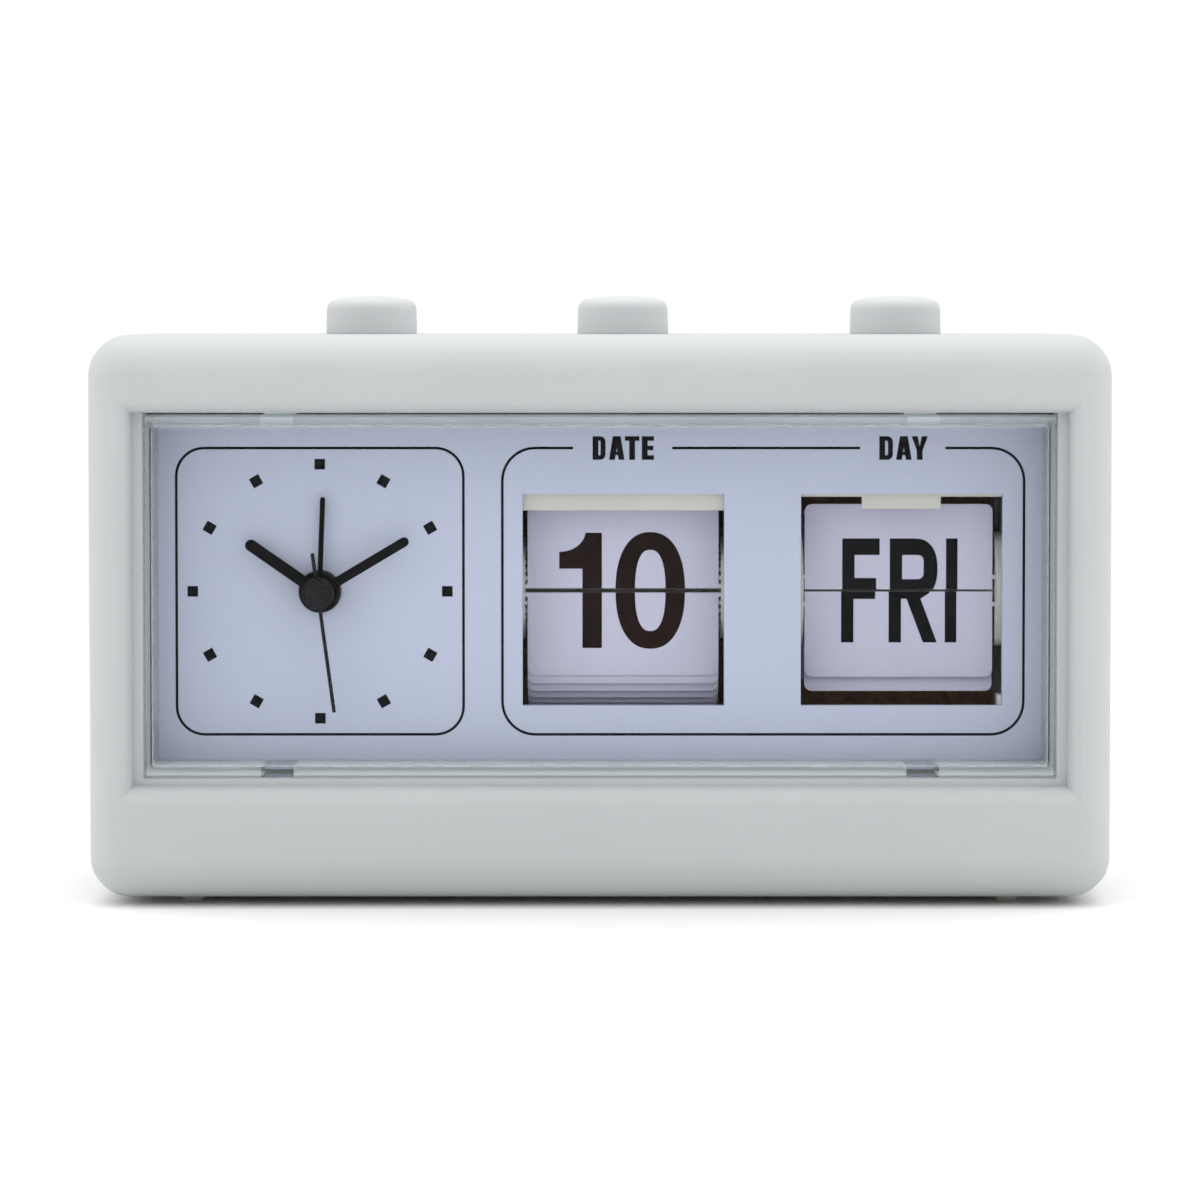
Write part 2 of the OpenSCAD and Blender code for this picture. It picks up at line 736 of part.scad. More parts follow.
// Pitch radius of the first or second gear of a pair that spans the setting reach
function pitch_radius(pair, which) = setting_reach * pair[which] / (pair[0] + pair[1]);

module gear(pair, which, y0, phase, t = gear_t) {
    along_y(y0, y0 + t) rotate(phase) polygon(gear_points(pair[which], pitch_radius(pair, which)));
}

module seconds_arbor() {
    color("#c9a85a") translate([dial_x, 0, dial_z])
        rod_y(second_r, hand_y[3] + eps, movement_back_y - front_wall / 2);
}

module minute_tube() {
    color("#c9a85a") translate([dial_x, 0, dial_z]) difference() {
        union() {
            rod_y(minute_r, hand_y[2], minute_gear_y + 2);
            gear(minute_teeth, 0, minute_gear_y, 0);
        }
        rod_y(second_r + run, hand_y[2] - 1, minute_gear_y + 3);
    }
}

module hour_pipe() {
    color("#d8d4c8") translate([dial_x, 0, dial_z]) difference() {
        union() {
            rod_y(hour_r, hand_y[1], hour_gear_y + gear_t);
            gear(hour_teeth, 1, hour_gear_y, 0);
        }
        rod_y(minute_r + run, hand_y[1] - 1, hour_gear_y + gear_t + 1);
    }
}

module alarm_pipe() {
    color("#d8d4c8") translate([dial_x, 0, dial_z]) difference() {
        union() {
            rod_y(alarm_r, hand_y[0], alarm_gear_y + gear_t);
            gear(alarm_teeth, 1, alarm_gear_y, 0);
        }
        rod_y(hour_r + run, hand_y[0] - 1, alarm_gear_y + gear_t + 1);
    }
}

module minute_wheel() {
    color("#d8d4c8") translate([time_x, 0, dial_z]) {
        gear(hour_teeth, 0, hour_gear_y - 0.2, 180 / hour_teeth[0], minute_gear_y - hour_gear_y + 0.2 + eps);
        gear(minute_teeth, 1, minute_gear_y, 180 / minute_teeth[1]);
        rod_y(arbor_r, minute_gear_y + gear_t - eps, stem_y + socket_d);
    }
}

module alarm_pinion() {
    color("#d8d4c8") translate([alarm_knob_x, 0, dial_z]) {
        gear(alarm_teeth, 0, alarm_gear_y, 180 / alarm_teeth[0]);
        rod_y(arbor_r, alarm_gear_y + gear_t - eps, stem_y + socket_d);
    }
}

// A flat hand that points to a clock angle: its outline is drawn pointing up
module hand(level, hub_r, bore_r, angle) {
    translate([dial_x, 0, dial_z]) along_y(hand_y[level], hand_y[level] + hand_t) difference() {
        union() {
            circle(hub_r);
            rotate(-angle) children();
        }
        circle(bore_r);
    }
}

// A bar with a round tip
module blunt_bar(l, w) {
    translate([-w / 2, 0]) square([w, l - w / 2]);
    translate([0, l - w / 2]) circle(w / 2);
}

module alarm_hand() {
    color("#1f1f26") hand(0, alarm_r + 0.75, alarm_r, 2.1) blunt_bar(alarm_l, alarm_w);
}

module hour_hand() {
    color("#1f1f26") hand(1, hour_r + 1.2, hour_r, 304.8) blunt_bar(hour_l, 2.2);
}

module minute_hand() {
    color("#1f1f26") hand(2, minute_r + 1.4, minute_r, 59.2) blunt_bar(minute_l, 1.8);
}

module second_hand() {
    tail = 7.6;
    cap_r = 2.95;
    color("#1f1f26") {
        hand(3, 2, second_r, 172.3) translate([-0.33, -tail]) square([0.66, second_l + tail]);
        translate([dial_x, hand_y[3], dial_z]) rotate([90, 0, 0]) rotate_extrude() difference() {
            square([cap_r, 1]);
            corner_waste_top(cap_r, 1, 0.5);
        }
    }
}

// What a rounded edge takes away from a square corner at (half, top)
module corner_waste_top(half, top, r) {
    translate([0, top]) mirror([0, 1]) corner_waste(half, r);
}

// A fluted setting knob on a long stem
module knob() {
    difference() {
        union() {
            rod_y(knob_r, back_y + 0.5, back_y + knob_out);
            rod_y(stem_r, stem_y, back_y + 1);
        }
        rod_y(arbor_r, stem_y - 1, stem_y + socket_d);
        for (i = [0:17]) rotate([0, 20 * i, 0]) translate([knob_r + 0.35, 0, 0])
            rod_y(0.8, back_y - eps, back_y + knob_out + 1);
        rod_y(knob_r - 1.8, back_y + knob_out - 0.6, back_y + knob_out + 1);
    }
}

module time_set_knob() {
    color("#d6d8d7") translate([time_x, 0, dial_z]) knob();
}

module alarm_set_knob() {
    color("#d6d8d7") translate([alarm_knob_x, 0, dial_z]) knob();
}

// Room for the battery bay, with clearance, where the calendar reaches down to it
module bay_room() {
    block(bay_x - bay_t - free, bay_x + bay_l + bay_t + free, bay_front_y - free, back_y,
          case_z0, bay_top + free);
}

// One side plate of the calendar frame with the hole for its axle
module frame_plate(x, axle_y) {
    difference() {
        block(x, x + plate_t, inner_y, frame_back_y, frame_z0, frame_z1);
        bay_room();
        translate([0, axle_y, cal_z]) rod_x(axle_r + run, x - 1, x + plate_t + 1);
        translate([0, (inner_y + frame_back_y) / 2 + 6, cal_z]) for (side = [-1, 1])
            translate([0, 0, side * 15]) rod_x(4, x - 1, x + plate_t + 1);
    }
}

module calendar_frame() {
    strip_z0 = cal_z + window_up - strip_drop;
    tab_hw = 7.45;
    ledge_x = day_x + day_leaf_w / 2 + 0.35;
    color("#d9d4c0") {
        for (x = date_plates) frame_plate(x, date_y);
        for (x = day_plates) frame_plate(x, day_y);
        for (y = [inner_y, frame_back_y - bar_d])
            block(frame_x0, frame_x1, y, y + bar_d, frame_z1 - bar_h, frame_z1);
        block(frame_x0, frame_x1, inner_y, inner_y + bar_d, frame_z0, frame_z0 + bar_h);
        block(frame_x0, frame_x1, frame_back_y - bar_d, frame_back_y, frame_rear_z0, frame_rear_z0 + bar_h);
        block(date_plates[0] + eps, date_plates[1] + eps, inner_y, inner_y + strip_t,
              strip_z0, frame_z1 - eps);
        block(day_plates[0] + eps, day_plates[1] + eps, inner_y, inner_y + strip_t,
              cal_z + window_up - 0.6, frame_z1 - eps);
        block(day_x - tab_hw, day_x + tab_hw, inner_y, inner_y + strip_t, strip_z0 + 0.3, frame_z1 - eps);
        block(ledge_x, day_plates[1] + eps, inner_y, inner_y + bar_d,
              frame_z0 + bar_h, cal_z - window_down + 1.8);
    }
}

module calendar_backboard() {
    color("#5a3a24") difference() {
        block(frame_x0, frame_x1, frame_back_y, frame_back_y + board_t, frame_z0, frame_z1);
        bay_room();
    }
}

module date_axle() {
    color("#b9bcbf") translate([0, date_y, cal_z]) rod_x(axle_r, date_plates[0], date_plates[1] + plate_t);
}

module day_axle() {
    color("#b9bcbf") translate([0, day_y, cal_z]) rod_x(axle_r, day_plates[0], day_plates[1] + plate_t);
}

// Outline of a ratchet wheel
function ratchet_points(teeth, r) =
    [for (i = [0:teeth - 1]) let (a = i * 360 / teeth) each [polar(r, a), polar(r - 1, a + 14 / teeth)]];

// A hub with a disc at each end, holes for the leaves' ears, and a ratchet outside the left disc
module drum(n, hinge_r, disc_r, disc_x) {
    step = 360 / n;
    difference() {
        union() {
            rod_x(drum_hub_r, -disc_x - disc_t, disc_x + disc_t);
            for (x = [-disc_x - disc_t, disc_x]) rod_x(disc_r, x, x + disc_t);
            along_x(-disc_x - disc_t - ratchet_t, -disc_x - disc_t + eps)
                polygon(ratchet_points(n, ratchet_r));
        }
        rod_x(axle_r + run, -disc_x - disc_t - ratchet_t - 1, disc_x + disc_t + 1);
        for (i = [0:n - 1]) rotate([-step * (i + 0.5), 0, 0]) translate([0, -hinge_r, 0])
            for (x = [-disc_x - disc_t, disc_x])
                rod_x(ear_hole_r, x - (x < 0 ? -ear_web : 1), x + disc_t + (x < 0 ? 1 : -ear_web));
    }
}

module date_drum() {
    color("#d9d4c0") translate([date_x, date_y, cal_z]) drum(date_n, date_hinge_r, date_disc_r, date_disc_x);
}

module day_drum() {
    color("#d9d4c0") translate([day_x, day_y, cal_z]) drum(day_n, day_hinge_r, day_disc_r, day_disc_x);
}

// One leaf standing on its hinge, with an ear at each side
module leaf(w, reach, tail, t) {
    along_y(-t / 2, t / 2) {
        translate([-w / 2, -tail]) square([w, tail + reach - leaf_corner]);
        translate([leaf_corner - w / 2, -tail]) square([w - 2 * leaf_corner, tail + reach]);
        for (side = [-1, 1])
            translate([side * (w / 2 - leaf_corner), reach - leaf_corner]) circle(leaf_corner);
        translate([-w / 2 - ear_l, -ear_w / 2]) square([w + 2 * ear_l, ear_w]);
    }
}

// Puts a leaf at hinge place, counted from the front upwards, leaning back by an angle
module date_leaf(place, lean) {
    rise = date_step * (place + 0.5);
    translate([date_x, date_y - date_hinge_r * cos(rise), cal_z + date_hinge_r * sin(rise)])
        rotate([-lean, 0, 0]) leaf(date_leaf_w, date_reach, date_tail, date_leaf_t);
}

module day_leaf(place, lean) {
    rise = day_step * (place + 0.5);
    translate([day_x, day_y - day_hinge_r * cos(rise), cal_z + day_hinge_r * sin(rise)])
        rotate([-lean, 0, 0]) leaf(day_leaf_w, day_reach, day_tail, day_leaf_t);
}

module date_upper_leaves() {
    color("#b4b4c6") for (i = [1:(date_n - 1) / 2]) date_leaf(i, date_step * i);
}

module date_lower_leaves() {
    color("#b4b4c6") for (i = [1:(date_n - 1) / 2]) date_leaf(-i, 180);
}

module date_flip_leaf() {
    color("#b4b4c6") date_leaf(0, 0);
}

module day_upper_leaves() {
    color("#b4b4c6") for (i = [1:(day_n - 1) / 2]) day_leaf(i, day_step * i);
}

module day_flip_leaf() {
    color("#b4b4c6") day_leaf(0, 0);
}

module day_lower_leaf_1() {
    color("#b4b4c6") day_leaf(-1, 180);
}

module day_lower_leaf_2() {
    color("#b4b4c6") day_leaf(-2, 180 + day_lean);
}

module day_lower_leaf_3() {
    color("#b4b4c6") day_leaf(-3, 180);
}

// A push button: domed cap, flange that stops under the top wall, and guide stem
module button(x) {
    cap_h = case_z1 + button_h - flange_z1;
    dome_r = (button_r * button_r + button_crown * button_crown) / (2 * button_crown);
    top_r = button_r - button_taper;
    translate([x, button_y, 0]) {
        translate([0, 0, flange_z0]) cylinder(r = flange_r, h = flange_t);
        translate([0, 0, button_stem_z]) cylinder(r = stem_bore_r, h = flange_z0 - button_stem_z + eps);
        translate([0, 0, flange_z1 - eps]) rotate_extrude() intersection() {
            square([button_r, cap_h]);
            offset(r = button_edge) offset(delta = -button_edge) intersection() {
                polygon([[-button_r, 0], [button_r, 0], [top_r, cap_h], [-top_r, cap_h]]);
                translate([0, cap_h - dome_r]) circle(dome_r, $fn = 256);
            }
        }
        translate([0, 0, flange_z1 - eps]) cylinder(r = button_r, h = button_edge);
    }
}

module alarm_button() {
    color("#dcdedd") button(button_xs[0]);
}

module date_button() {
    color("#dcdedd") button(button_xs[1]);
}

module day_button() {
    color("#dcdedd") button(button_xs[2]);
}

module button_spring(x) {
    color("#a8abae") translate([x, button_y, bracket_z1])
        wire_spring(spring_l, spring_r, spring_r, spring_turns, spring_wire);
}

module alarm_button_spring() {
    button_spring(button_xs[0]);
}

module date_button_spring() {
    button_spring(button_xs[1]);
}

module day_button_spring() {
    button_spring(button_xs[2]);
}

module button_bracket() {
    color("#cfd1d0") difference() {
        block(bracket_x0, bracket_x1, button_y - bracket_hw, button_y + bracket_hw, bracket_z0, bracket_z1);
        for (x = button_xs)
            translate([x, button_y, bracket_z0 - 1]) cylinder(r = stem_bore_r + run, h = bracket_t + 2);
        for (x = bracket_boss_xs)
            translate([x, button_y, bracket_z0 - 1]) cylinder(r = bracket_screw_r + run, h = bracket_t + 2);
    }
}

module bracket_screws() {
    color("#8a8d90") for (x = bracket_boss_xs)
        translate([x, button_y, bracket_z0]) rotate([-90, 0, 0])
            screw_y(bracket_head_r, bracket_head_t, bracket_screw_r, bracket_t + bracket_screw_bite);
}

module alarm_switch() {
    color("#2b2b2e") translate([-alarm_left, switch_y, bracket_z1]) {
        block(-switch_w / 2, switch_w / 2, -switch_d / 2, switch_d / 2, 0, switch_h);
        cylinder(r = switch_knob_r, h = switch_z1 - bracket_z1);
    }
}

// A pawl: a bar under the button's stem, then a blade down beside the front of the ratchet
module pawl(x, axis_y, ratchet_x) {
    z1 = button_stem_z;
    z0 = z1 - pawl_bar_h;
    blade_y1 = axis_y - ratchet_r - 0.35;
    blade_y0 = blade_y1 - pawl_t;
    block(ratchet_x, x + stem_bore_r, button_y - 2, button_y + 2, z0, z1);
    block(ratchet_x, ratchet_x + pawl_t, blade_y0, button_y + 2, z0, z1);
    block(ratchet_x, ratchet_x + pawl_t, blade_y0, blade_y1, cal_z + 1.5, z1);
}

module date_pawl() {
    color("#cfd1d0") pawl(date_x, date_y, date_x - date_disc_x - disc_t - ratchet_t + 0.2);
}

module day_pawl() {
    color("#cfd1d0") pawl(day_x, day_y, day_x - day_disc_x - disc_t - ratchet_t + 0.2);
}

button_path = wire_path(spring_l - spring_wire, spring_r, spring_r, spring_turns);
echo(button_spring_gap = wire_gap(button_path, spring_wire));
cell_path = wire_path(cell_spring_l - cell_spring_wire, cell_spring_r0, cell_spring_r1, cell_spring_turns);
echo(cell_spring_gap = wire_gap(cell_path, cell_spring_wire));

front_case();
rear_cover();
case_screws();
rubber_feet();
lens();
dial_plate();
dial_screws();
battery_door();
battery_contact_plate();
battery_contact_spring();
buzzer();
movement_front();
movement_back();
seconds_arbor();
minute_tube();
hour_pipe();
alarm_pipe();
minute_wheel();
alarm_pinion();
alarm_hand();
hour_hand();
minute_hand();
second_hand();
time_set_knob();
alarm_set_knob();
calendar_frame();
calendar_backboard();
date_axle();
day_axle();
date_drum();
date_upper_leaves();
date_lower_leaves();
date_flip_leaf();
day_drum();
day_upper_leaves();
day_flip_leaf();
day_lower_leaf_1();
day_lower_leaf_2();
day_lower_leaf_3();
alarm_button();
date_button();
day_button();
alarm_button_spring();
date_button_spring();
day_button_spring();
button_bracket();
bracket_screws();
alarm_switch();
date_pawl();
day_pawl();
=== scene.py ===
import json
import math

import bmesh
import bpy
from mathutils import Matrix, Vector


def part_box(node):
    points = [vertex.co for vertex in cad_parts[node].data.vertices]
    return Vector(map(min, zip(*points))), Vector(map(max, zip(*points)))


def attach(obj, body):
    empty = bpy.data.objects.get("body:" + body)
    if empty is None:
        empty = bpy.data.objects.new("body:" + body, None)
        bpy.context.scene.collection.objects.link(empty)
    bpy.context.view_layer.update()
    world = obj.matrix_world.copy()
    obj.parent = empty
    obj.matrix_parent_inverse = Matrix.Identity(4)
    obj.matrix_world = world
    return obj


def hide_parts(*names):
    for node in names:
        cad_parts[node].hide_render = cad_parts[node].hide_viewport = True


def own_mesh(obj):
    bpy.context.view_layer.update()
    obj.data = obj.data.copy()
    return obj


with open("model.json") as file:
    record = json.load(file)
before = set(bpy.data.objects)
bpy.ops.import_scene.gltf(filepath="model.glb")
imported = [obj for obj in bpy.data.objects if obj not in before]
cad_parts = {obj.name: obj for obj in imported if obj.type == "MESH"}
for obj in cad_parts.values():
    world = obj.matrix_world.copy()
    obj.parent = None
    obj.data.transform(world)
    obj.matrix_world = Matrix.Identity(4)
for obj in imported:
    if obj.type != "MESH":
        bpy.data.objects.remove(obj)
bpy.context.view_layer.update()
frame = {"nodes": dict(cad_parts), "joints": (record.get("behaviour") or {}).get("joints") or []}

# Front case, rear cover and battery door
# Two injection-moulded ABS shells in satin white, parted towards the back and held by four screws, and
# a door over the battery bay. The mould was spark-eroded, so the skin has a fine even grain that spreads
# the light. Here and on the other plastics the grain is drawn coarser than it is, so that it shows.
mm = 0.001
case_white, case_shade = "#B7BABB", "#B2B5B6"
noise_low, noise_high = 0.3, 0.7
# Sockets of a Mix node that mixes colours
mix_factor, mix_a, mix_b, mix_result = 0, 6, 7, 2


def linear(hex_colour):
    """An sRGB hex colour as linear RGBA."""
    parts = [int(hex_colour[i:i + 2], 16) / 255 for i in (1, 3, 5)]
    return [p / 12.92 if p <= 0.04045 else ((p + 0.055) / 1.055) ** 2.4 for p in parts] + [1]


def add_node(material, kind, inputs=None, **settings):
    """Adds one node. An input is a value, or an output socket that is linked to it."""
    node = material.node_tree.nodes.new("ShaderNode" + kind)
    for name, value in settings.items():
        setattr(node, name, value)
    for name, value in (inputs or {}).items():
        if isinstance(value, bpy.types.NodeSocket):
            material.node_tree.links.new(value, node.inputs[name])
        else:
            node.inputs[name].default_value = value
    return node


def new_material(name):
    material = bpy.data.materials.new(name)
    material.use_nodes = True
    material.node_tree.nodes.clear()
    return material


def finish_surface(material, shader):
    add_node(material, "OutputMaterial", {"Surface": shader})
    return material


def moulded(name, light, shade, grain, roughness, ior, edge, cloud=26 * mm, depth=0.012 * mm, milky=0.0):
    """Moulded plastic: two close tones in soft clouds, a fine grain and edges that are never quite sharp."""
    uneven, milk_depth = 0.06, 0.8 * mm
    material = new_material(name)
    place = add_node(material, "TexCoord").outputs["Object"]
    clouds = add_node(material, "TexNoise", {"Vector": place, "Scale": 1 / cloud, "Detail": 3})
    tone = add_node(material, "Mix", {mix_factor: clouds.outputs["Fac"], mix_a: linear(shade),
                                      mix_b: linear(light)}, data_type="RGBA")
    pits = add_node(material, "TexNoise", {"Vector": place, "Scale": 1 / grain, "Detail": 2})
    gloss = add_node(material, "MapRange", {
        "Value": pits.outputs["Fac"], "From Min": noise_low, "From Max": noise_high,
        "To Min": roughness - uneven, "To Max": roughness + uneven})
    rounding = add_node(material, "Bevel", {"Radius": edge}, samples=6)
    skin = add_node(material, "Bump", {"Height": pits.outputs["Fac"], "Strength": 0.35, "Distance": depth,
                                       "Normal": rounding.outputs["Normal"]})
    shader = add_node(material, "BsdfPrincipled", {
        "Base Color": tone.outputs[mix_result], "Roughness": gloss.outputs["Result"], "IOR": ior,
        "Normal": skin.outputs["Normal"], "Subsurface Weight": milky, "Subsurface Radius": (1, 1, 1),
        "Subsurface Scale": milk_depth})
    return finish_surface(material, shader.outputs["BSDF"])


def dress(material, *names):
    """Gives CAD nodes their finish."""
    for name in names:
        slots = frame["nodes"][name].data.materials
        slots.clear()
        slots.append(material)


satin_abs = moulded("satin_white_abs", case_white, case_shade, grain=0.5 * mm, roughness=0.5, ior=1.54,
                    edge=0.8 * mm)
dress(satin_abs, "front_case", "rear_cover", "battery_door")

# Feet
# Four small rubber pads pressed into pockets under the front case.
# Compression-moulded rubber is matt and a little dusty, warm grey rather than black.
foot_rubber = moulded("moulded_rubber", "#D6D0C5", "#C6BFB4", grain=0.35 * mm, roughness=0.85, ior=1.52,
                      edge=0.3 * mm, cloud=4 * mm, depth=0.03 * mm)
dress(foot_rubber, "rubber_feet")

# Screws, axles and contacts
# Zinc-plated steel: pan-head screws, the calendar's axles, and the plate and spring that touch the battery.
# Drawing and rolling leave fine lines, drawn coarser than they are, and the plating has a soft grey shine.


def plated(name, light, shade, roughness, line=0.12 * mm):
    """Plated or drawn metal with fine lines along Y."""
    uneven, drawn_out, edge, depth = 0.08, 0.06, 0.1 * mm, 0.005 * mm
    material = new_material(name)
    place = add_node(material, "TexCoord").outputs["Object"]
    along = add_node(material, "Mapping", {"Vector": place, "Scale": (1, drawn_out, 1)})
    lines = add_node(material, "TexNoise", {"Vector": along.outputs["Vector"], "Scale": 1 / line,
                                            "Detail": 3})
    tone = add_node(material, "Mix", {mix_factor: lines.outputs["Fac"], mix_a: linear(shade),
                                      mix_b: linear(light)}, data_type="RGBA")
    gloss = add_node(material, "MapRange", {
        "Value": lines.outputs["Fac"], "From Min": noise_low, "From Max": noise_high,
        "To Min": roughness - uneven, "To Max": roughness + uneven})
    rounding = add_node(material, "Bevel", {"Radius": edge}, samples=4)
    scratch = add_node(material, "Bump", {"Height": lines.outputs["Fac"], "Strength": 0.2, "Distance": depth,
                                          "Normal": rounding.outputs["Normal"]})
    shader = add_node(material, "BsdfPrincipled", {
        "Base Color": tone.outputs[mix_result], "Roughness": gloss.outputs["Result"], "Metallic": 1.0,
        "Normal": scratch.outputs["Normal"]})
    return finish_surface(material, shader.outputs["BSDF"])


zinc_steel = plated("zinc_plated_steel", "#C6C9CB", "#A3A7AA", 0.32)
dress(zinc_steel, "case_screws", "dial_screws", "bracket_screws", "date_axle", "day_axle",
      "battery_contact_plate", "battery_contact_spring")
weld = frame["nodes"]["battery_contact_spring"].modifiers.new("join_wire_faces", "WELD")
weld.merge_threshold = 0.002 * mm

# Return springs
# Three springs coiled from plated steel wire, one under each button, standing on the bracket.
# Their end turns are closed so that they stand square. Each coil keeps its rest length, also when its button
# is pressed.
joints = {joint["name"]: joint for joint in frame["joints"]}
wire_d = 0.8 * mm
coil_turns, turn_steps, wire_sides = 4, 24, 10
closed_pitch = 0.95 * mm
spring_play = 0.01 * mm


def new_piece(name, mesh, material):
    """Puts a finished mesh into the scene."""
    data = bpy.data.meshes.new(name)
    mesh.to_mesh(data)
    mesh.free()
    data.materials.append(material)
    piece = bpy.data.objects.new(name, data)
    bpy.context.scene.collection.objects.link(piece)
    return piece


def coil(foot, radius, length):
    """The mesh of a compression spring that stands on its foot, with its first and last turns closed."""
    mesh = bmesh.new()
    open_rise = length - wire_d - 2 * closed_pitch
    rings = []
    for i in range(coil_turns * turn_steps + 1):
        turn = i / turn_steps
        a = 2 * math.pi * turn
        rise = closed_pitch * (min(turn, 1) + max(turn - coil_turns + 1, 0))
        rise += open_rise * min(max(turn - 1, 0) / (coil_turns - 2), 1)
        wire_ring = []
        for j in range(wire_sides):
            b = 2 * math.pi * j / wire_sides
            r = radius + wire_d / 2 * math.sin(b)
            wire_ring.append(mesh.verts.new((foot.x + r * math.cos(a), foot.y + r * math.sin(a),
                                             foot.z + rise + wire_d / 2 * (1 + math.cos(b)))))
        rings.append(wire_ring)
    for near, far in zip(rings, rings[1:]):
        for j in range(wire_sides):
            mesh.faces.new((near[j - 1], near[j], far[j], far[j - 1])).smooth = True
    mesh.faces.new(rings[0])
    mesh.faces.new(rings[-1])
    bmesh.ops.recalc_face_normals(mesh, faces=mesh.faces[:])
    return mesh


for kind in ("alarm", "date", "day"):
    low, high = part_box(kind + "_button_spring")
    foot = Vector(((low.x + high.x) / 2, (low.y + high.y) / 2, low.z))
    wire = coil(foot, (high.x - low.x - wire_d) / 2, high.z - low.z - spring_play)
    spring = new_piece(kind + "_return_spring", wire, zinc_steel)
    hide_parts(kind + "_button_spring")
    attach(spring, "case")
    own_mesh(spring)

# Sounder, switch and movement housing
# Small black ABS mouldings: the disc sounder behind its slots, the alarm switch and the clock movement.
# They come from polished moulds, so they shine a little more than the case.
black_abs = moulded("black_abs", "#2E2F32", "#232427", grain=0.3 * mm, roughness=0.38, ior=1.54,
                    edge=0.15 * mm)
dress(black_abs, "buzzer", "alarm_switch", "movement_front", "movement_back")

# Motion work
# The pipes and wheels that carry the hands: nylon gears moulded in one with their pipes,
# and a brass tube and arbor turned on a lathe.
# Bare nylon is milky and lets a little light in, and the turned brass has fine bright lines.
gear_nylon = moulded("natural_nylon", "#E6E2D4", "#D9D4C4", grain=0.4 * mm, roughness=0.45, ior=1.53,
                     edge=0.1 * mm, milky=0.25)
dress(gear_nylon, "hour_pipe", "alarm_pipe", "minute_wheel", "alarm_pinion")
turned_brass = plated("turned_brass", "#D2B064", "#B8924A", 0.27)
dress(turned_brass, "minute_tube", "seconds_arbor")

# Calendar frame and drums
# Cream acetal mouldings: side plates with the strip and tab that hold the upper leaves back,
# and two drums whose discs show beside the leaves. Acetal is a little waxy, with a soft shine.
cream_acetal = moulded("cream_acetal", "#D4D2CC", "#CAC8C0", grain=0.4 * mm, roughness=0.4, ior=1.48,
                       edge=0.2 * mm, milky=0.15)
dress(cream_acetal, "calendar_frame", "date_drum", "day_drum")

# Backboard
# Brown hardboard, pressed from wood fibre, closes the calendar behind the leaves.
# Its smooth face shows short darker fibres that lie all ways.
board_dark, board_light = "#A8653A", "#D29A66"
fibre, clump = 0.7 * mm, 3 * mm
mottle_low, mottle_high = 0.12, 0.4
hardboard = new_material("brown_hardboard")
place = add_node(hardboard, "TexCoord").outputs["Object"]
clumps = add_node(hardboard, "TexNoise", {"Vector": place, "Scale": 1 / clump, "Detail": 4,
                                          "Distortion": 1.5})
fibres = add_node(hardboard, "TexNoise", {"Vector": place, "Scale": 1 / fibre, "Detail": 5,
                                          "Distortion": 2.5})
mottle = add_node(hardboard, "Math", {0: clumps.outputs["Fac"], 1: fibres.outputs["Fac"]},
                  operation="MULTIPLY")
spread = add_node(hardboard, "MapRange", {"Value": mottle.outputs["Value"], "From Min": mottle_low,
                                          "From Max": mottle_high})
tone = add_node(hardboard, "Mix", {mix_factor: spread.outputs["Result"], mix_a: linear(board_dark),
                                   mix_b: linear(board_light)}, data_type="RGBA")
press = add_node(hardboard, "Bump", {"Height": fibres.outputs["Fac"], "Strength": 0.4,
                                     "Distance": 0.03 * mm})
shader = add_node(hardboard, "BsdfPrincipled", {"Base Color": tone.outputs[mix_result], "Roughness": 0.6,
                                                "IOR": 1.5, "Normal": press.outputs["Normal"]})
finish_surface(hardboard, shader.outputs["BSDF"])
dress(hardboard, "calendar_backboard")

# Leaves
# Punched vinyl film, pale lavender, hung by its ears in the drums.
# Calendered film is satin with a faint cloudiness, and handling leaves it slightly uneven.
vinyl = moulded("lavender_vinyl", "#D0CFE6", "#C9C8DF", grain=0.8 * mm, roughness=0.42, ior=1.53,
                edge=0.04 * mm, cloud=9 * mm, depth=0.004 * mm)
dress(vinyl, "date_upper_leaves", "date_lower_leaves", "date_flip_leaf", "day_upper_leaves",
      "day_flip_leaf", "day_lower_leaf_1", "day_lower_leaf_2", "day_lower_leaf_3")

# Numbers and words on the leaves
# Screen-printed black ink, a thin film on each leaf, cut at the split between an upper and a lower leaf.
# The ink is even and satin; on the older date leaves it has worn to a trace of brown.
# Outlines are in millimetres of X and Z from the middle of the display.
ink_t = 0.015
black_ink, worn_ink = [
    moulded(name, light, shade, grain=0.5 * mm, roughness=0.6, ior=1.2, edge=0.01 * mm, cloud=6 * mm,
            depth=0.003 * mm)
    for name, light, shade in (("black_print_ink", "#151318", "#0B0B10"),
                               ("worn_black_print_ink", "#2E1814", "#0D0A0C"))]
number_up = 11.0
one_left, one_stem, one_right = -12.17, -7.75, -4.04
flag_low, flag_high, flag_reach, flag_over, flag_start = 4.15, 7.37, 5.0, 0.3, -4
zero_x, zero_half, zero_over, zero_square = 5.18, 6.63, 0.15, 0.88
open_half, open_up, open_square = 2.91, 7.75, 0.82
ring_points = 60
eleven_shifts = (1.5, 14.5)
day_up, day_stem, day_bar = 9.93, 2.36, 3.15
day_misprint = -0.2
friday = (("F", 7.13, -10.73), ("R", 9.2, -1.66), ("I", 2.2, 9.05))
saturday = (("S", 7.6, -12.1), ("A", 8.6, -4.0), ("T", 7.2, 4.9))


def arc(x, z, rx, rz, start, end, steps=12, power=1.0):
    """Points on an elliptical arc. A power under 1 squares it up."""
    points = []
    for i in range(steps + 1):
        a = math.radians(start + (end - start) * i / steps)
        c, s = math.cos(a), math.sin(a)
        points.append((x + rx * math.copysign(abs(c) ** power, c),
                       z + rz * math.copysign(abs(s) ** power, s)))
    return points


def oval(x, rx, rz, power):
    """A closed ring of points round (x, 0)."""
    return arc(x, 0, rx, rz, 0, 360 - 360 / ring_points, ring_points - 1, power)


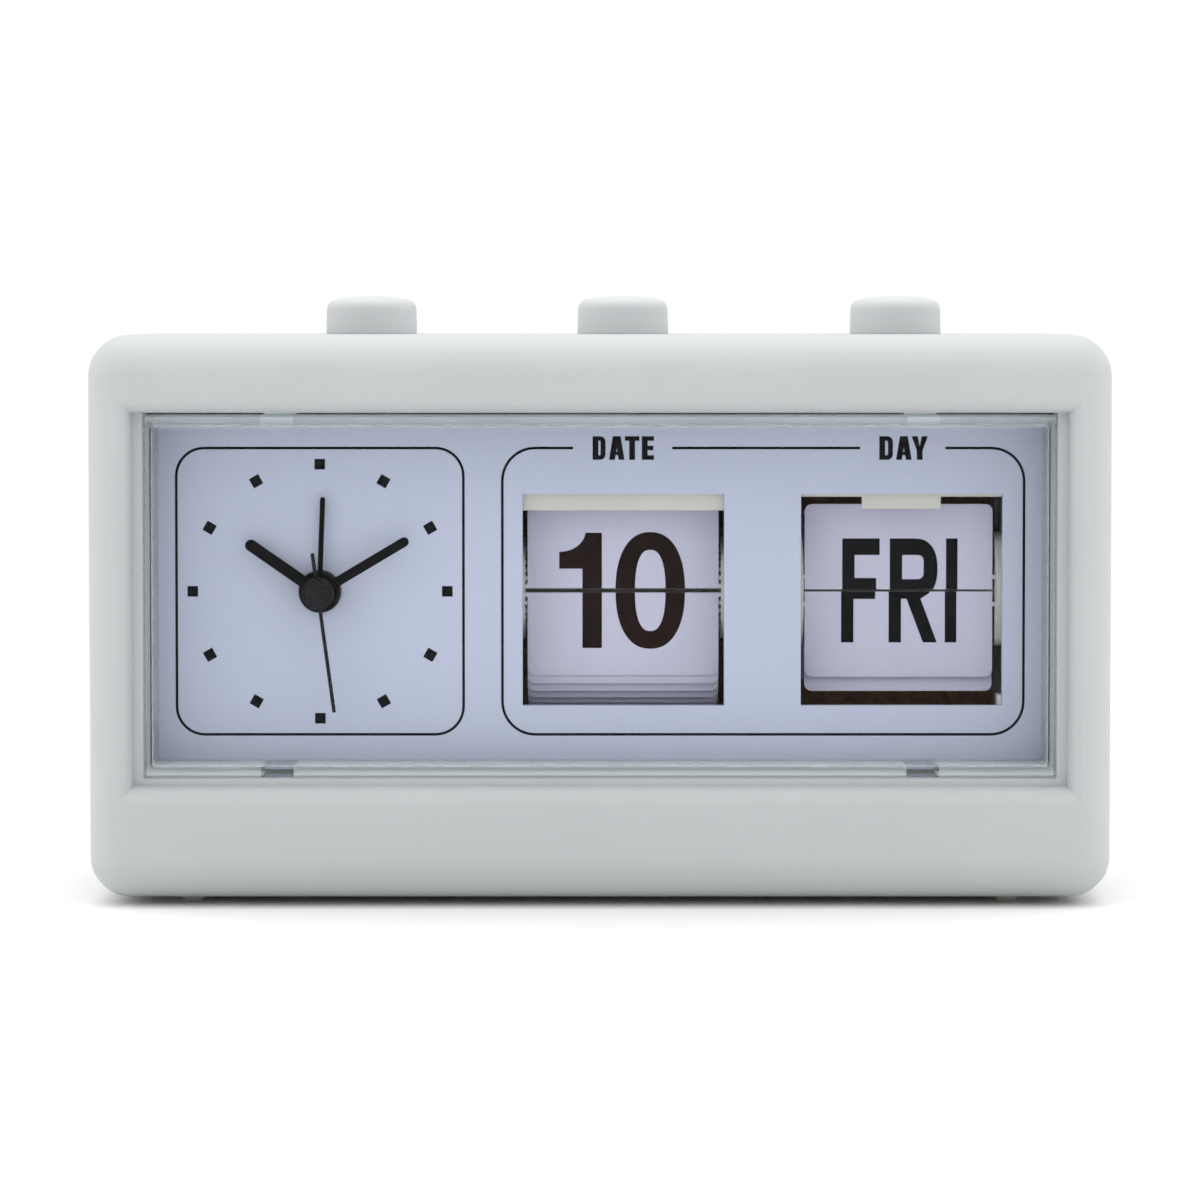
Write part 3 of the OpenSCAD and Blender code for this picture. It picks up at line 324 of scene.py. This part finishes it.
def ribbon(path, width):
    """Outline of a line of that width along open points."""
    left, right = [], []
    for i, (x, z) in enumerate(path):
        x0, z0 = path[max(i - 1, 0)]
        x1, z1 = path[min(i + 1, len(path) - 1)]
        long = math.hypot(x1 - x0, z1 - z0)
        nx, nz = (z0 - z1) / long * width / 2, (x1 - x0) / long * width / 2
        left.append((x + nx, z + nz))
        right.append((x - nx, z - nz))
    return left + right[::-1]


def letter(name, w, h, stem, bar):
    """Outlines of a condensed capital with its lower left corner at (0, 0)."""
    middle = h / 2
    if name == "I":
        return [[(0, 0), (w, 0), (w, h), (0, h)]]
    if name == "F":
        low, high, reach = 0.418 * h, 0.62 * h, 0.91 * w
        return [[(0, 0), (stem, 0), (stem, low), (reach, low), (reach, high), (stem, high),
                 (stem, h - bar), (w, h - bar), (w, h), (0, h)]]
    if name == "E":
        low, high, reach = middle - bar / 2, middle + bar / 2, 0.94 * w
        return [[(0, 0), (w, 0), (w, bar), (stem, bar), (stem, low), (reach, low), (reach, high),
                 (stem, high), (stem, h - bar), (w, h - bar), (w, h), (0, h)]]
    if name == "T":
        left, right = (w - stem) / 2, (w + stem) / 2
        return [[(left, 0), (right, 0), (right, h - bar), (w, h - bar), (w, h), (0, h), (0, h - bar),
                 (left, h - bar)]]
    if name == "Y":
        left, right, fork, notch, arm = (w - stem) / 2, (w + stem) / 2, 0.4 * h, 0.58 * h, 1.05 * stem
        return [[(left, 0), (right, 0), (right, fork), (w, h), (w - arm, h), (w / 2, notch), (arm, h),
                 (0, h), (left, fork)]]
    if name == "D":
        bend, slim = 0.42 * w, 0.85 * stem
        inner = 0.55 * (w - stem - slim)
        outer = [(0, 0)] + arc(w - bend, bend, bend, bend, -90, 0)
        outer += arc(w - bend, h - bend, bend, bend, 0, 90) + [(0, h)]
        hole = [(stem, bar)] + arc(w - slim - inner, bar + inner, inner, inner, -90, 0)
        hole += arc(w - slim - inner, h - bar - inner, inner, inner, 0, 90) + [(stem, h - bar)]
        return [outer, hole]
    if name == "A":
        top, low, high = 1.35 * stem, 0.2 * h, 0.2 * h + 0.75 * bar
        lean = (w - top) / 2 / h
        outer = [(0, 0), (stem, 0), (stem + low * lean, low), (w - stem - low * lean, low), (w - stem, 0),
                 (w, 0), ((w + top) / 2, h), ((w - top) / 2, h)]
        hole = [(stem + high * lean, high), (w - stem - high * lean, high), (w / 2, (w / 2 - stem) / lean)]
        return [outer, hole]
    if name == "R":
        turn, knee, leg_left, leg_foot, leg_right = 0.48 * w, 0.42 * h, 0.37 * w, 0.71 * w, 0.66 * w
        bowl = (h - knee) / 2
        outer = [(0, 0), (stem, 0), (stem, knee), (leg_left, knee), (leg_foot, 0), (w, 0), (leg_right, knee)]
        outer += arc(w - turn, knee + bowl, 0.98 * turn, bowl, -52, 90, power=0.85) + [(0, h)]
        soft, inside, floor_z = 0.12 * w, 0.7 * w, knee + 1.19 * bar
        hole = [(stem, floor_z)] + arc(inside - soft, floor_z + soft, soft, soft, -90, 0)
        hole += arc(inside - soft, h - bar - soft, soft, soft, 0, 90) + [(stem, h - bar)]
        return [outer, hole]
    if name == "S":
        rx, rz, tip, steps = (w - stem) / 2, (h - bar) / 4, 12, 20
        path = arc(w / 2, h - bar / 2 - rz, rx, rz, tip, 270, steps)
        path += arc(w / 2, bar / 2 + rz, rx, rz, 90, tip - 180, steps)[1:]
        return [ribbon(path, 1.1 * stem)]
    raise ValueError(name)


def shifted(outlines, x, z):
    return [[(px + x, pz + z) for px, pz in outline] for outline in outlines]


def day_word(letters):
    """Outlines of a day's name, from each letter's width and left edge."""
    outlines = []
    for name, width, left in letters:
        outlines += shifted(letter(name, width, 2 * day_up, day_stem, day_bar), left, -day_up)
    return outlines


def print_ink(name, outlines, face_y, body, ink=black_ink, keep=None, turn=None):
    """Prints outlines of X and Z, in millimetres, as a thin closed film on a front face at face_y.

    keep=(side, z) keeps what lies above (1) or below (-1) a height, and turn is a matrix that takes the
    print from where it is read to where its leaf rests."""
    mesh = bmesh.new()
    for outline in outlines:
        points = [mesh.verts.new((x * mm, face_y, z * mm)) for x, z in outline]
        for i, point in enumerate(points):
            mesh.edges.new((points[i - 1], point))
    bmesh.ops.triangle_fill(mesh, use_beauty=True, use_dissolve=False, edges=mesh.edges[:],
                            normal=(0, -1, 0))
    if keep:
        side, height = keep
        bmesh.ops.bisect_plane(mesh, geom=mesh.verts[:] + mesh.edges[:] + mesh.faces[:], dist=1e-8,
                               plane_co=(0, 0, height), plane_no=(0, 0, side), clear_inner=True)
    grown = bmesh.ops.extrude_face_region(mesh, geom=mesh.faces[:])["geom"]
    front = [item for item in grown if isinstance(item, bmesh.types.BMVert)]
    bmesh.ops.translate(mesh, verts=front, vec=(0, -ink_t * mm, 0))
    bmesh.ops.recalc_face_normals(mesh, faces=mesh.faces[:])
    if turn:
        bmesh.ops.transform(mesh, matrix=turn, verts=mesh.verts[:])
    piece = new_piece(name, mesh, ink)
    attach(piece, body)


def turned(y, z, angle):
    """A turn about the X direction through (y, z)."""
    there = Matrix.Translation((0, y, z))
    return there @ Matrix.Rotation(angle, 4, "X") @ there.inverted()


flag_z = number_up + flag_over
one = [(one_right, -number_up), (one_right, number_up)]
one += arc(one_left, flag_z, flag_reach, flag_z - flag_high, flag_start, -90)
one += [(one_left, flag_low), (one_stem, flag_low), (one_stem, -number_up)]
ten = [one, oval(zero_x, zero_half, number_up + zero_over, zero_square),
       oval(zero_x, open_half, open_up, open_square)]
eleven = [outline for x in eleven_shifts for outline in shifted([one], x, 0)]

for kind, now, following, lower, misprint, ink in (
        ("date", ten, eleven, "date_roll", 0, worn_ink),
        ("day", day_word(friday), day_word(saturday), "day_hang_1", day_misprint, black_ink)):
    drum_x, drum_y, drum_z = joints[kind + "_roll_turn"]["pos_m"]
    step = math.radians(joints[kind + "_roll_turn"]["range_deg"][1])
    hinge_y = joints[kind + "_flip_turn"]["pos_m"][1]
    leaf_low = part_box(kind + "_flip_leaf")[0]
    face_y, upper_from, lower_to = leaf_low.y, leaf_low.z, 2 * drum_z - leaf_low.z
    now = shifted(now, drum_x / mm, drum_z / mm)
    following = shifted(following, drum_x / mm, drum_z / mm)
    print_ink(kind + "_print_upper", now, face_y, kind + "_flip", ink, keep=(1, upper_from))
    print_ink(kind + "_print_lower", shifted(now, misprint, 0), face_y, lower, ink, keep=(-1, lower_to))
    print_ink(kind + "_next_lower", following, face_y, kind + "_flip", ink, keep=(-1, lower_to),
              turn=turned(hinge_y, drum_z, math.pi))
    print_ink(kind + "_next_upper", following, face_y, kind + "_roll", ink, keep=(1, upper_from),
              turn=turned(drum_y, drum_z, -step))

# Dial plate
# A polystyrene plate behind the lens, sprayed pale lavender blue, with two windows for the calendar.
# The coat is satin and very even, with the faintest orange peel.
# The four screw ears above and below the lens are painted near-black: painted shade for the dark gap round
# the lens.
ear_shade_colour = "#1B1C1F"
shade_inset = 1.6 * mm
lens_low, lens_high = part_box("lens")
dial_coat = moulded("lavender_sprayed_dial", "#C3C9DF", "#BEC4DB", grain=0.9 * mm, roughness=0.48, ior=1.5,
                    edge=0.15 * mm, cloud=40 * mm, depth=0.006 * mm)
place = add_node(dial_coat, "TexCoord").outputs["Object"]
height = add_node(dial_coat, "SeparateXYZ", {"Vector": place}).outputs["Z"]
# From just inside the lens's top and bottom edges outwards, the coat gives way to that painted shade.
above = add_node(dial_coat, "Math", {0: height, 1: lens_high.z - shade_inset}, operation="GREATER_THAN")
below = add_node(dial_coat, "Math", {0: height, 1: lens_low.z + shade_inset}, operation="LESS_THAN")
ear = add_node(dial_coat, "Math", {0: above.outputs["Value"], 1: below.outputs["Value"]}, operation="ADD")
coated = dial_coat.node_tree.nodes["Principled BSDF"].inputs["Base Color"]
ear_shade = add_node(dial_coat, "Mix", {mix_factor: ear.outputs["Value"], mix_a: coated.links[0].from_socket,
                                   mix_b: linear(ear_shade_colour)}, data_type="RGBA")
dial_coat.node_tree.links.new(ear_shade.outputs[mix_result], coated)
dress(dial_coat, "dial_plate")

# Marks and words on the dial
# Screen-printed in the same black ink: twelve square hour marks, a line round the clock,
# and a line round the calendar that makes room for two words.
# Each letter of the words has its left and right edge in pixels of the photograph.
dial_x, dial_z = joints["second_turn"]["pos_m"][0] / mm, joints["second_turn"]["pos_m"][2] / mm
dial_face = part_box("dial_plate")[0].y
mark_count, mark_ring, mark_half = 12, 24.0, 1.0
line_w = 0.5
frame_half = 27.05
clock_corner, calendar_corner = 5.3, 6.2
calendar_left, calendar_right = -18.41, 79.91
date_gap, day_gap = (-5.05, 13.6), (49.0, 65.05)
word_h, word_stem, word_bar = 4.45, 1.1, 0.86
date_letters = (("D", 592.4, 605.3), ("A", 608.8, 624.3), ("T", 624.7, 639.2), ("E", 641.6, 653.8))
day_letters = (("D", 879.0, 892.6), ("A", 895.7, 911.4), ("Y", 911.3, 927.5))
photo_middle, photo_per_mm = 599.8, 5.307
square = ((-1, -1), (1, -1), (1, 1), (-1, 1))

marks = []
for hour in range(mark_count):
    a = math.radians(360 / mark_count * hour)
    across, along = (math.cos(a), -math.sin(a)), (math.sin(a), math.cos(a))
    marks.append([(dial_x + along[0] * (mark_ring + v * mark_half) + across[0] * u * mark_half,
                   dial_z + along[1] * (mark_ring + v * mark_half) + across[1] * u * mark_half)
                  for u, v in square])
print_ink("hour_marks", marks, dial_face, "case")


def rounded(x0, x1, z0, z1, r):
    """Outline of a rectangle with round corners."""
    return (arc(x1 - r, z1 - r, r, r, 90, 0) + arc(x1 - r, z0 + r, r, r, 0, -90)
            + arc(x0 + r, z0 + r, r, r, -90, -180) + arc(x0 + r, z1 - r, r, r, 180, 90))


low_z, top_z = dial_z - frame_half, dial_z + frame_half
print_ink("clock_line", [
    rounded(dial_x - frame_half - out, dial_x + frame_half + out, low_z - out, top_z + out,
            clock_corner + out)
    for out in (line_w / 2, -line_w / 2)], dial_face, "case")
round_calendar = rounded(calendar_left, calendar_right, low_z, top_z, calendar_corner)
print_ink("calendar_line", [
    ribbon([(day_gap[1], top_z)] + round_calendar + [(date_gap[0], top_z)], line_w),
    ribbon([(date_gap[1], top_z), (day_gap[0], top_z)], line_w)], dial_face, "case")

words = []
for name, left, right in date_letters + day_letters:
    width = (right - left) / photo_per_mm
    words += shifted(letter(name, width, word_h, word_stem, word_bar),
                     (left - photo_middle) / photo_per_mm, top_z - word_h / 2)
print_ink("calendar_words", words, dial_face, "case")

# Hands
# Four flat stamped aluminium hands, all lacquered black, and the moulded cap of the second hand.
# The lacquer is satin, and the cap is polished a little more, so it shows a greyer face.
hand_lacquer, cap_lacquer = [
    moulded(name, "#0C0C0F", "#08080B", grain=0.4 * mm, roughness=roughness, ior=ior, edge=edge,
            cloud=5 * mm, depth=0.006 * mm)
    for name, roughness, ior, edge in (("satin_black_lacquer", 0.4, 1.17, 0.12 * mm),
                                       ("polished_black_lacquer", 0.28, 1.32, 0.3 * mm))]
dress(hand_lacquer, "alarm_hand", "hour_hand", "minute_hand")
dress(cap_lacquer, "second_hand")

# Lens
# A clear polystyrene tray with a flat face, clipped into the case by four tabs.
# It is polished, so it bends light at its walls and mirrors little; lamps shine through it onto the dial.
# The mould leaves its rim frosted, more so at the upper tabs and hardly at the lower ones.
# The pale frost along the rim is also a painted highlight: it stands in for light caught in the walls, most
# along the bottom.
clear_tint, frost_and_highlight_tint, lit_tint = "#FBFCFC", "#C6D0D0", "#FAFBFB"
mirror = 0.09
smear_size, smear_low, smear_high, most_haze = 14 * mm, 0.4, 0.8, 0.06
rim_w, tab_middle, tab_half = 1.1 * mm, 59.8 * mm, 3.0 * mm
frost_highlight_from, frost_highlight_full, frost_highlight_change = 4.2 * mm, 2.0 * mm, 1.0 * mm
# Rim frost at the sides, top and bottom: partly frost, partly painted highlight.
side_frost_and_highlight, upper_frost_and_highlight, lower_frost_and_highlight = 0.3, 0.55, 0.62
upper_tab, lower_tab = 0.25, -0.5
lens_middle = (lens_low.z + lens_high.z) / 2
lens_half = lens_high.z - lens_middle
clear_polystyrene = new_material("clear_polystyrene")
ray = add_node(clear_polystyrene, "LightPath").outputs
lit_through = add_node(clear_polystyrene, "Math", {0: ray["Is Shadow Ray"], 1: ray["Is Diffuse Ray"]},
                       operation="MAXIMUM")
place = add_node(clear_polystyrene, "TexCoord").outputs["Object"]
smear = add_node(clear_polystyrene, "TexNoise", {"Vector": place, "Scale": 1 / smear_size, "Detail": 5})
polish = add_node(clear_polystyrene, "MapRange", {
    "Value": smear.outputs["Fac"], "From Min": smear_low, "From Max": smear_high, "To Min": 0.0,
    "To Max": most_haze})
glass = add_node(clear_polystyrene, "BsdfPrincipled", {
    "Base Color": linear(clear_tint), "Roughness": polish.outputs["Result"], "IOR": 1.45,
    "Transmission Weight": 1.0, "Specular Tint": (mirror, mirror, mirror, 1)})
spot = add_node(clear_polystyrene, "SeparateXYZ", {"Vector": place})
aside = add_node(clear_polystyrene, "Math", {0: spot.outputs["X"]}, operation="ABSOLUTE")
height = add_node(clear_polystyrene, "Math", {0: spot.outputs["Z"], 1: lens_middle}, operation="SUBTRACT")
tab_frost, end_frost_and_highlight = [
    add_node(clear_polystyrene, "MapRange", {"Value": height.outputs["Value"], "From Min": -frost_highlight_change,
                                             "From Max": frost_highlight_change, "To Min": lower, "To Max": upper})
    for lower, upper in ((lower_tab, upper_tab), (lower_frost_and_highlight, upper_frost_and_highlight))]
off_middle = add_node(clear_polystyrene, "Math", {0: height.outputs["Value"]}, operation="ABSOLUTE")
at_side = add_node(clear_polystyrene, "Math", {0: aside.outputs["Value"], 1: lens_high.x - rim_w},
                   operation="GREATER_THAN")
at_end = add_node(clear_polystyrene, "MapRange", {"Value": off_middle.outputs["Value"],
                                                  "From Min": lens_half - frost_highlight_from,
                                                  "From Max": lens_half - frost_highlight_full})
at_tab = add_node(clear_polystyrene, "Math", {0: aside.outputs["Value"], 1: tab_middle, 2: tab_half},
                  operation="COMPARE")
tab = add_node(clear_polystyrene, "Math", {0: at_tab.outputs["Value"], 1: at_end.outputs["Result"]},
               operation="MULTIPLY")
side_rim = add_node(clear_polystyrene, "Math", {0: at_side.outputs["Value"], 1: side_frost_and_highlight},
                    operation="MULTIPLY")
end_rim = add_node(clear_polystyrene, "Math", {0: at_end.outputs["Result"], 1: end_frost_and_highlight.outputs["Result"]},
                   operation="MULTIPLY")
rim_frost_and_highlight = add_node(clear_polystyrene, "Math", {0: side_rim.outputs["Value"], 1: end_rim.outputs["Value"]},
               operation="MAXIMUM")
frost_and_highlight = add_node(clear_polystyrene, "Math", {0: tab.outputs["Value"], 1: tab_frost.outputs["Result"],
                                             2: rim_frost_and_highlight.outputs["Value"]}, operation="MULTIPLY_ADD")
# A pale matt surface for the tabs' frost and for the rim's frost and painted highlight.
frost_highlight_shader = add_node(clear_polystyrene, "BsdfPrincipled", {"Base Color": linear(frost_and_highlight_tint),
                                                         "Roughness": 0.5})
tray = add_node(clear_polystyrene, "MixShader", {0: frost_and_highlight.outputs["Value"], 1: glass.outputs["BSDF"],
                                                 2: frost_highlight_shader.outputs["BSDF"]})
through = add_node(clear_polystyrene, "BsdfTransparent", {"Color": linear(lit_tint)})
pane = add_node(clear_polystyrene, "MixShader", {0: lit_through.outputs["Value"], 1: tray.outputs["Shader"],
                                                 2: through.outputs["BSDF"]})
finish_surface(clear_polystyrene, pane.outputs["Shader"])
dress(clear_polystyrene, "lens")

# Buttons, knobs and what they push
# Three caps on the top and two fluted knobs at the back, moulded in the case's white ABS,
# with a grey bracket and pawls inside. The caps are softly rounded, and drawn a shade lighter as painted
# light.
# The caps' lighter white is painted light, for the brighter light that falls on their domes.
button_abs_painted_light = moulded("satin_white_button_abs_painted_light", "#BCBFC0", "#B7BABB", grain=0.5 * mm, roughness=0.5,
                     ior=1.54, edge=2.0 * mm)
dress(button_abs_painted_light, "alarm_button", "date_button", "day_button")
dress(satin_abs, "time_set_knob", "alarm_set_knob")
grey_abs = moulded("grey_abs", "#B4B7B7", "#ABAEAE", grain=0.4 * mm, roughness=0.46, ior=1.54,
                   edge=0.15 * mm)
dress(grey_abs, "button_bracket", "date_pawl", "day_pawl")

# Floor and backdrop
# A white studio table inside a white light tent: bright above and at the sides,
# and dimmer where it is open before and behind the clock.
# The table shows its own shading near the clock, and plain white further out.
floor_half = 6.0
lit_out_to, white_from = 0.25, 0.6
room_level, tent_level, top_gain = 0.5, 1.85, 1.42
table_white, pure_white = linear("#E6E6E6"), linear("#FFFFFF")


def seen_rays(material):
    """1 for rays that show the backdrop: from the camera, straight, mirrored or through glass."""
    ray = add_node(material, "LightPath").outputs
    seen = ray["Is Camera Ray"]
    for other in ("Is Glossy Ray", "Is Transmission Ray"):
        seen = add_node(material, "Math", {0: seen, 1: ray[other]}, operation="MAXIMUM").outputs["Value"]
    return seen


white_table = new_material("white_table")
paint = add_node(white_table, "BsdfPrincipled", {"Base Color": table_white, "Roughness": 0.8})
glow = add_node(white_table, "Emission", {"Color": pure_white, "Strength": 1.0})
place = add_node(white_table, "TexCoord").outputs["Object"]
reach = add_node(white_table, "VectorMath", {0: place}, operation="LENGTH")
far = add_node(white_table, "MapRange", {"Value": reach.outputs["Value"], "From Min": lit_out_to,
                                         "From Max": white_from})
seen_far = add_node(white_table, "Math", {0: far.outputs["Result"], 1: seen_rays(white_table)},
                    operation="MULTIPLY")
table_top = add_node(white_table, "MixShader", {0: seen_far.outputs["Value"], 1: paint.outputs["BSDF"],
                                                2: glow.outputs["Emission"]})
finish_surface(white_table, table_top.outputs["Shader"])
floor_mesh = bpy.data.meshes.new("floor")
floor_mesh.from_pydata([(floor_half * u, floor_half * v, 0) for u, v in square], [], [(0, 1, 2, 3)])
floor_mesh.materials.append(white_table)
floor = bpy.data.objects.new("floor", floor_mesh)
bpy.context.scene.collection.objects.link(floor)

world = bpy.data.worlds.new("light_tent")
bpy.context.scene.world = world
world.use_nodes = True
world.node_tree.nodes.clear()
way = add_node(world, "SeparateXYZ", {"Vector": add_node(world, "TexCoord").outputs["Generated"]})
along = add_node(world, "Math", {0: way.outputs["Y"]}, operation="ABSOLUTE")
level = add_node(world, "MapRange", {"Value": along.outputs["Value"], "To Min": tent_level,
                                     "To Max": room_level})
gain = add_node(world, "MapRange", {"Value": way.outputs["Z"], "To Min": 1.0, "To Max": top_gain})
strength = add_node(world, "Math", {0: level.outputs["Result"], 1: gain.outputs["Result"]},
                    operation="MULTIPLY")
tent = add_node(world, "Background", {"Color": pure_white, "Strength": strength.outputs["Value"]})
white = add_node(world, "Background", {"Color": pure_white, "Strength": 1.0})
all_rays = add_node(world, "MixShader", {0: seen_rays(world), 1: tent.outputs["Background"],
                                         2: white.outputs["Background"]})
add_node(world, "OutputWorld", {"Surface": all_rays.outputs["Shader"]})

# Lamp
# One soft box over the tent, a little behind the clock, draws a bright line along the top edge.
clock_middle = Vector((0, 0, 0.055))
lamp = bpy.data.lights.new("soft_box_above", "AREA")
lamp.shape = "RECTANGLE"
lamp.size, lamp.size_y = 1.2, 0.8
lamp.energy = 2.0
soft_box = bpy.data.objects.new("soft_box_above", lamp)
soft_box.location = (0.0, 0.25, 1.1)
soft_box.rotation_euler = (clock_middle - soft_box.location).to_track_quat("-Z", "Y").to_euler()
bpy.context.scene.collection.objects.link(soft_box)

# Camera
# A long lens, almost level, from a little above the top of the case, as the photograph was taken.
lens_mm, sensor_mm, frame_shift = 114.3, 36.0, -0.13
camera_back, camera_up, camera_dip = 0.735, 0.10965, 1.94
camera_data = bpy.data.cameras.new("camera")
camera_data.lens = lens_mm
camera_data.sensor_width = sensor_mm
camera_data.shift_y = frame_shift
camera = bpy.data.objects.new("camera", camera_data)
camera.location = (0.0, -camera_back, camera_up)
camera.rotation_euler = (math.radians(90 - camera_dip), 0, 0)
bpy.context.scene.collection.objects.link(camera)
bpy.context.scene.camera = camera
bpy.context.scene.view_settings.view_transform = "Standard"
